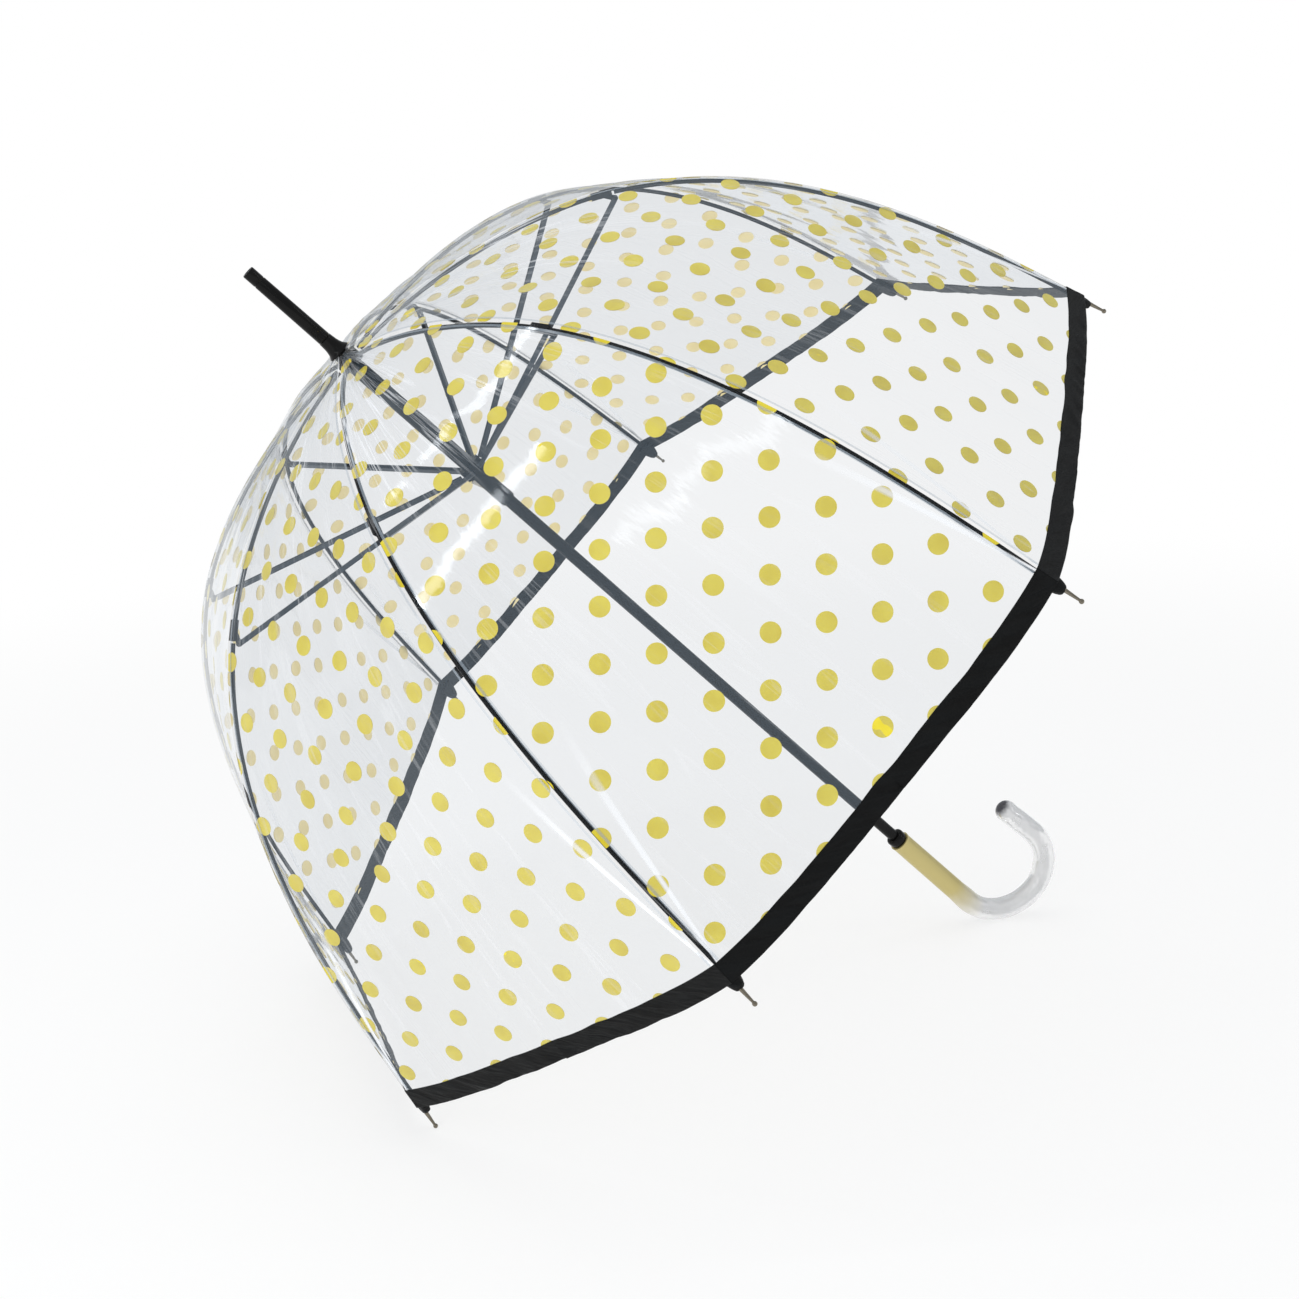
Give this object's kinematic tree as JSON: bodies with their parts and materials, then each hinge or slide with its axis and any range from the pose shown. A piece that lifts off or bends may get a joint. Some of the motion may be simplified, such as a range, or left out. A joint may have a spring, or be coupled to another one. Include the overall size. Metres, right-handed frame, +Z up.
{
  "type": "clear bubble umbrella",
  "caption": "Clear dome umbrella standing open on its rib tips and crook, with hinged ribs, stretchers, a sliding runner, spring catches, dotted film and a dark hem band.",
  "frame": {"origin": "centre of the bounding box, on the floor that the open umbrella stands on", "axes": "+Z up, the shaft leans in the XZ plane with the ferrule up and towards -X and the crook down towards +X, +Y across"},
  "size_m": [0.7214, 0.7914, 0.6681],
  "materials": {
    "shaft_steel": "gloss",
    "rib_steel": "gloss",
    "stretcher_steel": "satin",
    "black_plastic": "gloss",
    "bright_steel": "polished",
    "grip_gold": "satin",
    "clear_acrylic": "polished",
    "clear_film": "gloss",
    "hem_black": "satin",
    "dot_yellow": "gloss"
  },
  "bodies": {
    "frame": {"shaft": "shaft_steel", "ferrule": "black_plastic", "canopy_cup": "black_plastic", "crown_notch": "black_plastic", "crown_wire": "bright_steel", "stop_tube": "black_plastic", "handle_collar": "black_plastic", "grip_sleeve": "grip_gold", "handle_hook": "clear_acrylic"},
    "runner": {"runner": "black_plastic"},
    "top_catch": {"top_catch": "bright_steel"},
    "bottom_catch": {"bottom_catch": "bright_steel"},
    "rib_upper_1": {"rib_upper_1": "rib_steel", "connector_1": "black_plastic"},
    "rib_lower_1": {"rib_lower_1": "rib_steel", "rib_tip_1": "bright_steel", "canopy_gore_1": "clear_film"},
    "stretcher_1": {"stretcher_1": "stretcher_steel"},
    "rib_upper_2": {"rib_upper_2": "rib_steel", "connector_2": "black_plastic"},
    "rib_lower_2": {"rib_lower_2": "rib_steel", "rib_tip_2": "bright_steel", "canopy_gore_2": "clear_film"},
    "stretcher_2": {"stretcher_2": "stretcher_steel"},
    "rib_upper_3": {"rib_upper_3": "rib_steel", "connector_3": "black_plastic"},
    "rib_lower_3": {"rib_lower_3": "rib_steel", "rib_tip_3": "bright_steel", "canopy_gore_3": "clear_film"},
    "stretcher_3": {"stretcher_3": "stretcher_steel"},
    "rib_upper_4": {"rib_upper_4": "rib_steel", "connector_4": "black_plastic"},
    "rib_lower_4": {"rib_lower_4": "rib_steel", "rib_tip_4": "bright_steel", "canopy_gore_4": "clear_film"},
    "stretcher_4": {"stretcher_4": "stretcher_steel"},
    "rib_upper_5": {"rib_upper_5": "rib_steel", "connector_5": "black_plastic"},
    "rib_lower_5": {"rib_lower_5": "rib_steel", "rib_tip_5": "bright_steel", "canopy_gore_5": "clear_film"},
    "stretcher_5": {"stretcher_5": "stretcher_steel"},
    "rib_upper_6": {"rib_upper_6": "rib_steel", "connector_6": "black_plastic"},
    "rib_lower_6": {"rib_lower_6": "rib_steel", "rib_tip_6": "bright_steel", "canopy_gore_6": "clear_film"},
    "stretcher_6": {"stretcher_6": "stretcher_steel"},
    "rib_upper_7": {"rib_upper_7": "rib_steel", "connector_7": "black_plastic"},
    "rib_lower_7": {"rib_lower_7": "rib_steel", "rib_tip_7": "bright_steel", "canopy_gore_7": "clear_film"},
    "stretcher_7": {"stretcher_7": "stretcher_steel"},
    "rib_upper_8": {"rib_upper_8": "rib_steel", "connector_8": "black_plastic"},
    "rib_lower_8": {"rib_lower_8": "rib_steel", "rib_tip_8": "bright_steel", "canopy_gore_8": "clear_film"},
    "stretcher_8": {"stretcher_8": "stretcher_steel"}
  },
  "joints": [
    {"name": "runner_slide", "type": "slide", "parent": "frame", "child": "runner", "axis": [0.6992, 0, -0.7149], "range_m": [0, 0.3253]},
    {"name": "rib_fold_1", "type": "hinge", "parent": "frame", "child": "rib_upper_1", "pos_m": [-0.23036, 0.00306, 0.55369], "axis": [-0.2736, 0.9239, -0.2676], "range_deg": [0, 74.79]},
    {"name": "rib_flex_1", "type": "hinge", "parent": "rib_upper_1", "child": "rib_lower_1", "pos_m": [-0.04857, 0.08767, 0.65997], "axis": [0.2736, -0.9239, 0.2676], "range_deg": [0, 42.5], "deforming": ["canopy_gore_1"]},
    {"name": "stretcher_swing_1", "type": "hinge", "parent": "rib_upper_1", "child": "stretcher_1", "pos_m": [-0.04745, 0.08672, 0.65551], "axis": [0.2736, -0.9239, 0.2676], "range_deg": [0, 146.58]},
    {"name": "rib_fold_2", "type": "hinge", "parent": "frame", "child": "rib_upper_2", "pos_m": [-0.23346, 0.00739, 0.55066], "axis": [-0.6605, 0.3827, -0.646], "range_deg": [0, 74.79]},
    {"name": "rib_flex_2", "type": "hinge", "parent": "rib_upper_2", "child": "rib_lower_2", "pos_m": [-0.13722, 0.21166, 0.57327], "axis": [0.6605, -0.3827, 0.646], "range_deg": [0, 42.5], "deforming": ["canopy_gore_2"]},
    {"name": "stretcher_swing_2", "type": "hinge", "parent": "rib_upper_2", "child": "stretcher_2", "pos_m": [-0.13512, 0.20935, 0.56976], "axis": [0.6605, -0.3827, 0.646], "range_deg": [0, 146.58]},
    {"name": "rib_fold_3", "type": "hinge", "parent": "frame", "child": "rib_upper_3", "pos_m": [-0.23783, 0.00739, 0.54638], "axis": [-0.6605, -0.3827, -0.646], "range_deg": [0, 74.79]},
    {"name": "rib_flex_3", "type": "hinge", "parent": "rib_upper_3", "child": "rib_lower_3", "pos_m": [-0.26258, 0.21166, 0.45067], "axis": [0.6605, 0.3827, 0.646], "range_deg": [0, 42.5], "deforming": ["canopy_gore_3"]},
    {"name": "stretcher_swing_3", "type": "hinge", "parent": "rib_upper_3", "child": "stretcher_3", "pos_m": [-0.25912, 0.20935, 0.4485], "axis": [0.6605, 0.3827, 0.646], "range_deg": [0, 146.58]},
    {"name": "rib_fold_4", "type": "hinge", "parent": "frame", "child": "rib_upper_4", "pos_m": [-0.24093, 0.00306, 0.54336], "axis": [-0.2736, -0.9239, -0.2676], "range_deg": [0, 74.79]},
    {"name": "rib_flex_4", "type": "hinge", "parent": "rib_upper_4", "child": "rib_lower_4", "pos_m": [-0.35123, 0.08767, 0.36398], "axis": [0.2736, 0.9239, 0.2676], "range_deg": [0, 42.5], "deforming": ["canopy_gore_4"]},
    {"name": "stretcher_swing_4", "type": "hinge", "parent": "rib_upper_4", "child": "stretcher_4", "pos_m": [-0.34679, 0.08672, 0.36275], "axis": [0.2736, 0.9239, 0.2676], "range_deg": [0, 146.58]},
    {"name": "rib_fold_5", "type": "hinge", "parent": "frame", "child": "rib_upper_5", "pos_m": [-0.24093, -0.00306, 0.54336], "axis": [0.2736, -0.9239, 0.2676], "range_deg": [0, 74.79]},
    {"name": "rib_flex_5", "type": "hinge", "parent": "rib_upper_5", "child": "rib_lower_5", "pos_m": [-0.35123, -0.08767, 0.36398], "axis": [-0.2736, 0.9239, -0.2676], "range_deg": [0, 42.5], "deforming": ["canopy_gore_5"]},
    {"name": "stretcher_swing_5", "type": "hinge", "parent": "rib_upper_5", "child": "stretcher_5", "pos_m": [-0.34679, -0.08672, 0.36275], "axis": [-0.2736, 0.9239, -0.2676], "range_deg": [0, 146.58]},
    {"name": "rib_fold_6", "type": "hinge", "parent": "frame", "child": "rib_upper_6", "pos_m": [-0.23783, -0.00739, 0.54638], "axis": [0.6605, -0.3827, 0.646], "range_deg": [0, 74.79]},
    {"name": "rib_flex_6", "type": "hinge", "parent": "rib_upper_6", "child": "rib_lower_6", "pos_m": [-0.26258, -0.21166, 0.45067], "axis": [-0.6605, 0.3827, -0.646], "range_deg": [0, 42.5], "deforming": ["canopy_gore_6"]},
    {"name": "stretcher_swing_6", "type": "hinge", "parent": "rib_upper_6", "child": "stretcher_6", "pos_m": [-0.25912, -0.20935, 0.4485], "axis": [-0.6605, 0.3827, -0.646], "range_deg": [0, 146.58]},
    {"name": "rib_fold_7", "type": "hinge", "parent": "frame", "child": "rib_upper_7", "pos_m": [-0.23346, -0.00739, 0.55066], "axis": [0.6605, 0.3827, 0.646], "range_deg": [0, 74.79]},
    {"name": "rib_flex_7", "type": "hinge", "parent": "rib_upper_7", "child": "rib_lower_7", "pos_m": [-0.13722, -0.21166, 0.57327], "axis": [-0.6605, -0.3827, -0.646], "range_deg": [0, 42.5], "deforming": ["canopy_gore_7"]},
    {"name": "stretcher_swing_7", "type": "hinge", "parent": "rib_upper_7", "child": "stretcher_7", "pos_m": [-0.13512, -0.20935, 0.56976], "axis": [-0.6605, -0.3827, -0.646], "range_deg": [0, 146.58]},
    {"name": "rib_fold_8", "type": "hinge", "parent": "frame", "child": "rib_upper_8", "pos_m": [-0.23036, -0.00306, 0.55369], "axis": [0.2736, 0.9239, 0.2676], "range_deg": [0, 74.79]},
    {"name": "rib_flex_8", "type": "hinge", "parent": "rib_upper_8", "child": "rib_lower_8", "pos_m": [-0.04857, -0.08767, 0.65997], "axis": [-0.2736, -0.9239, -0.2676], "range_deg": [0, 42.5], "deforming": ["canopy_gore_8"]},
    {"name": "stretcher_swing_8", "type": "hinge", "parent": "rib_upper_8", "child": "stretcher_8", "pos_m": [-0.04745, -0.08672, 0.65551], "axis": [-0.2736, -0.9239, -0.2676], "range_deg": [0, 146.58]},
    {"name": "top_catch_press", "type": "hinge", "parent": "frame", "child": "top_catch", "pos_m": [-0.12504, 0, 0.435], "axis": [0, 1, 0], "range_deg": [0, 10], "stiffness_Nm_per_rad": 0.7, "springref_deg": -9.74},
    {"name": "bottom_catch_press", "type": "hinge", "parent": "frame", "child": "bottom_catch", "pos_m": [0.08717, 0, 0.21801], "axis": [0, -1, 0], "range_deg": [0, 10], "stiffness_Nm_per_rad": 0.7, "springref_deg": -9.74}
  ],
  "couplings": [
    {"joint": "rib_fold_1", "follows": "runner_slide", "rad_per_m": 4.0127},
    {"joint": "rib_flex_1", "follows": "runner_slide", "rad_per_m": 2.2802},
    {"joint": "stretcher_swing_1", "follows": "runner_slide", "rad_per_m": 7.8644},
    {"joint": "rib_fold_2", "follows": "runner_slide", "rad_per_m": 4.0127},
    {"joint": "rib_flex_2", "follows": "runner_slide", "rad_per_m": 2.2802},
    {"joint": "stretcher_swing_2", "follows": "runner_slide", "rad_per_m": 7.8644},
    {"joint": "rib_fold_3", "follows": "runner_slide", "rad_per_m": 4.0127},
    {"joint": "rib_flex_3", "follows": "runner_slide", "rad_per_m": 2.2802},
    {"joint": "stretcher_swing_3", "follows": "runner_slide", "rad_per_m": 7.8644},
    {"joint": "rib_fold_4", "follows": "runner_slide", "rad_per_m": 4.0127},
    {"joint": "rib_flex_4", "follows": "runner_slide", "rad_per_m": 2.2802},
    {"joint": "stretcher_swing_4", "follows": "runner_slide", "rad_per_m": 7.8644},
    {"joint": "rib_fold_5", "follows": "runner_slide", "rad_per_m": 4.0127},
    {"joint": "rib_flex_5", "follows": "runner_slide", "rad_per_m": 2.2802},
    {"joint": "stretcher_swing_5", "follows": "runner_slide", "rad_per_m": 7.8644},
    {"joint": "rib_fold_6", "follows": "runner_slide", "rad_per_m": 4.0127},
    {"joint": "rib_flex_6", "follows": "runner_slide", "rad_per_m": 2.2802},
    {"joint": "stretcher_swing_6", "follows": "runner_slide", "rad_per_m": 7.8644},
    {"joint": "rib_fold_7", "follows": "runner_slide", "rad_per_m": 4.0127},
    {"joint": "rib_flex_7", "follows": "runner_slide", "rad_per_m": 2.2802},
    {"joint": "stretcher_swing_7", "follows": "runner_slide", "rad_per_m": 7.8644},
    {"joint": "rib_fold_8", "follows": "runner_slide", "rad_per_m": 4.0127},
    {"joint": "rib_flex_8", "follows": "runner_slide", "rad_per_m": 2.2802},
    {"joint": "stretcher_swing_8", "follows": "runner_slide", "rad_per_m": 7.8644}
  ]
}
